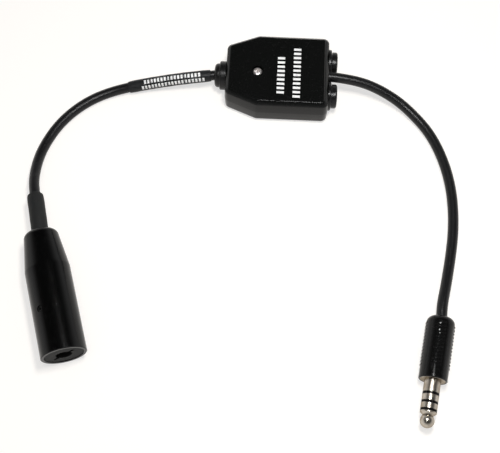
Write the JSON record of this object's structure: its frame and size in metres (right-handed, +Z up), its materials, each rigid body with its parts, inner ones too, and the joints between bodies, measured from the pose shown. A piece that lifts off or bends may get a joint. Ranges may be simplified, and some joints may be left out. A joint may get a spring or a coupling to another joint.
{
  "type": "headset adapter cord",
  "caption": "Short in-line adapter cord: a moulded box with a transformer board, a barrel socket with sprung contacts on one cord and a four-conductor plug on the other.",
  "frame": {"origin": "centre of the moulded box's bottom face", "axes": "+X along the box from the socket's cord towards the plug's cord, +Z up out of the box's screwed face, +Y away from the two cords' ends"},
  "size_m": [0.2045, 0.1904, 0.0203],
  "materials": {
    "housing_plastic": "black moulded plastic with a fine texture",
    "cord_rubber": "satin black cord jacket and grommets",
    "sleeve_plastic": "black shrink sleeve",
    "boot_plastic": "matte dark grey shrink sleeve",
    "barrel_plastic": "glossy black moulded shell",
    "insert_plastic": "matte grey moulding",
    "block_plastic": "dark moulding",
    "handle_plastic": "satin black moulded handle with grip ribs",
    "plug_metal": "bright nickel plate",
    "collar_plastic": "black insulating collars",
    "contact_metal": "spring brass",
    "screw_steel": "bright zinc-plated steel",
    "board_laminate": "green circuit laminate",
    "core_steel": "stacked laminations",
    "coil_wire": "varnished winding",
    "can_sleeve": "printed can sleeve",
    "resistor_body": "lacquered bodies",
    "chip_epoxy": "moulded epoxy",
    "tie_nylon": "natural nylon",
    "wire_jacket": "insulated wire"
  },
  "bodies": {
    "adapter": {"housing_upper": "housing_plastic", "housing_lower": "housing_plastic", "housing_screw": "screw_steel", "cord_gland": "cord_rubber", "blanking_plug_far": "cord_rubber", "blanking_plug_near": "cord_rubber", "circuit_board": "board_laminate", "transformer_core": "core_steel", "transformer_coil": "coil_wire", "capacitors": "can_sleeve", "resistors": "resistor_body", "amplifier_chip": "chip_epoxy", "cord_ties": "tie_nylon", "board_leads": "wire_jacket", "socket_cord": "cord_rubber", "printed_sleeve": "sleeve_plastic", "socket_boot": "boot_plastic", "socket_barrel": "barrel_plastic", "socket_insert": "insert_plastic", "contact_block": "block_plastic", "contact_tails": "contact_metal", "socket_leads": "wire_jacket", "plug_cord": "cord_rubber", "plug_handle": "handle_plastic", "plug_body": "plug_metal", "plug_ring_1": "plug_metal", "plug_ring_2": "plug_metal", "plug_tip": "plug_metal", "plug_insulators": "collar_plastic", "plug_leads": "wire_jacket"},
    "sleeve_leaf": {"sleeve_contact": "contact_metal"},
    "ring_1_leaf": {"ring_1_contact": "contact_metal"},
    "ring_2_leaf": {"ring_2_contact": "contact_metal"},
    "tip_leaf": {"tip_contact": "contact_metal"}
  },
  "joints": [
    {"name": "sleeve_flex", "type": "hinge", "parent": "adapter", "child": "sleeve_leaf", "pos_m": [-0.09, -0.12334, 0.01338], "axis": [-0.5724, -0.186, 0.7986], "range_deg": [0, 2], "stiffness_Nm_per_rad": 0.02},
    {"name": "ring_1_flex", "type": "hinge", "parent": "adapter", "child": "ring_1_leaf", "pos_m": [-0.09817, -0.126, 0.00692], "axis": [0.5724, 0.186, -0.7986], "range_deg": [0, 2.5], "stiffness_Nm_per_rad": 0.02},
    {"name": "ring_2_flex", "type": "hinge", "parent": "adapter", "child": "ring_2_leaf", "pos_m": [-0.09716, -0.12567, 0.01444], "axis": [-0.7595, -0.2468, -0.6018], "range_deg": [0, 3.2], "stiffness_Nm_per_rad": 0.02},
    {"name": "tip_flex", "type": "hinge", "parent": "adapter", "child": "tip_leaf", "pos_m": [-0.09101, -0.12367, 0.00586], "axis": [0.7595, 0.2468, 0.6018], "range_deg": [0, 8], "stiffness_Nm_per_rad": 0.02}
  ]
}
